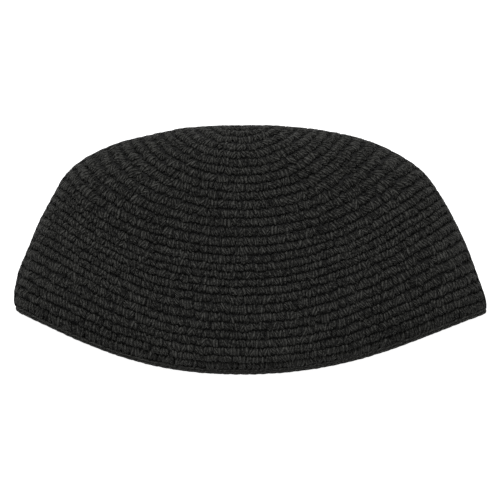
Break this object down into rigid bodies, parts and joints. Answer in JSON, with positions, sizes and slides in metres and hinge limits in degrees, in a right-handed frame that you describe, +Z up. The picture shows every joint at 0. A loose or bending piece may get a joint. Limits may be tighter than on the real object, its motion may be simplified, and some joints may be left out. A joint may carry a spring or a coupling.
{
  "type": "folded kippah skullcap",
  "caption": "Deep crocheted skullcap in black cotton, folded in half and lying flat, hollow between its two layers and open along the curved rim.",
  "frame": {"origin": "under the middle of the whole cap's box, on the surface it lies on", "axes": "+X across the cap from its left corner to its right one, +Y from the open rim towards the crown's fold, +Z up through both layers"},
  "size_m": [0.2296, 0.1212, 0.036],
  "materials": {
    "black_cotton": "matte crocheted cotton yarn with a soft sheen",
    "edge_cotton": "matte cotton yarn, pulled tight and smooth"
  },
  "bodies": {
    "root": {"crochet_cap": "black_cotton", "edge_round": "edge_cotton"}
  },
  "joints": []
}
